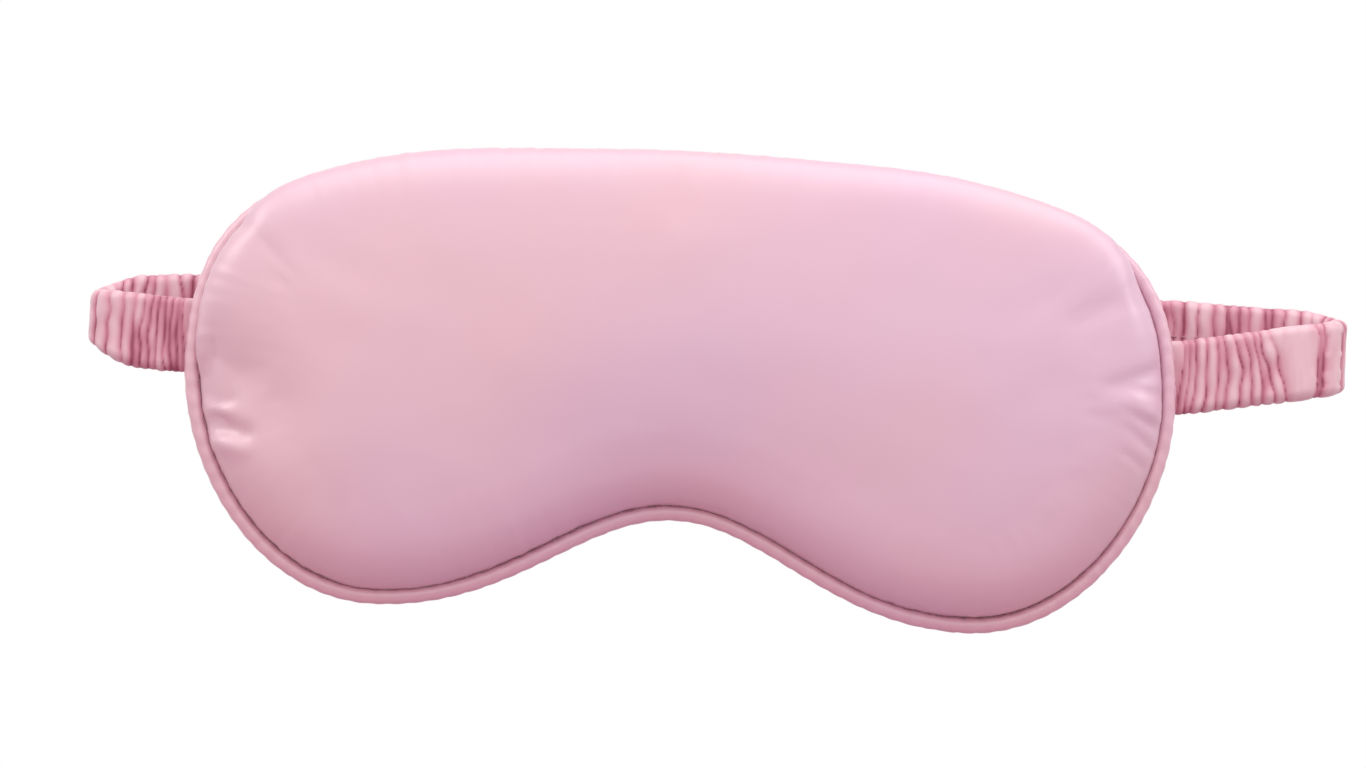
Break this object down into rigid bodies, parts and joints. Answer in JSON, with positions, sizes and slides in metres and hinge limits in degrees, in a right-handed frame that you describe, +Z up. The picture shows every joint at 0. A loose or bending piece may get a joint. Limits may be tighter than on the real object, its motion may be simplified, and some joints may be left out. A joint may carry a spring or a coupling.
{
  "type": "sleep eye mask",
  "caption": "Padded satin sleep mask with a nose notch, a piped edge and a gathered elastic head strap that stretches back round the head.",
  "frame": {"origin": "middle of the flat face side, on its surface, half way up the mask and midway between its two sides", "axes": "as worn: +Z up, +Y towards the wearer's face and the back of the head, so the front faces -Y; +X to the right as seen from the front"},
  "size_m": [0.265, 0.0273, 0.0983],
  "materials": {
    "panel_satin": "satin",
    "strap_satin": "satin",
    "rose_thread": "matte",
    "wadding": "matte",
    "blackout_cloth": "matte",
    "cotton_cord": "matte",
    "knitted_elastic": "matte"
  },
  "bodies": {
    "mask": {"front_panel": "panel_satin", "front_wadding": "wadding", "blackout_liner": "blackout_cloth", "back_wadding": "wadding", "back_panel": "panel_satin", "piping_cover": "panel_satin", "piping_cord": "cotton_cord", "edge_seam_thread": "rose_thread", "turning_gap_stitch": "rose_thread"},
    "strap": {"strap_cover": "strap_satin", "strap_elastic": "knitted_elastic", "strap_cover_seam": "rose_thread"}
  },
  "joints": [
    {"name": "strap_stretch", "type": "slide", "parent": "mask", "child": "strap", "axis": [0, 1, 0], "range_m": [0, 0.15], "stiffness_N_per_m": 20, "deforming": ["strap_cover", "strap_elastic", "strap_cover_seam"]}
  ]
}
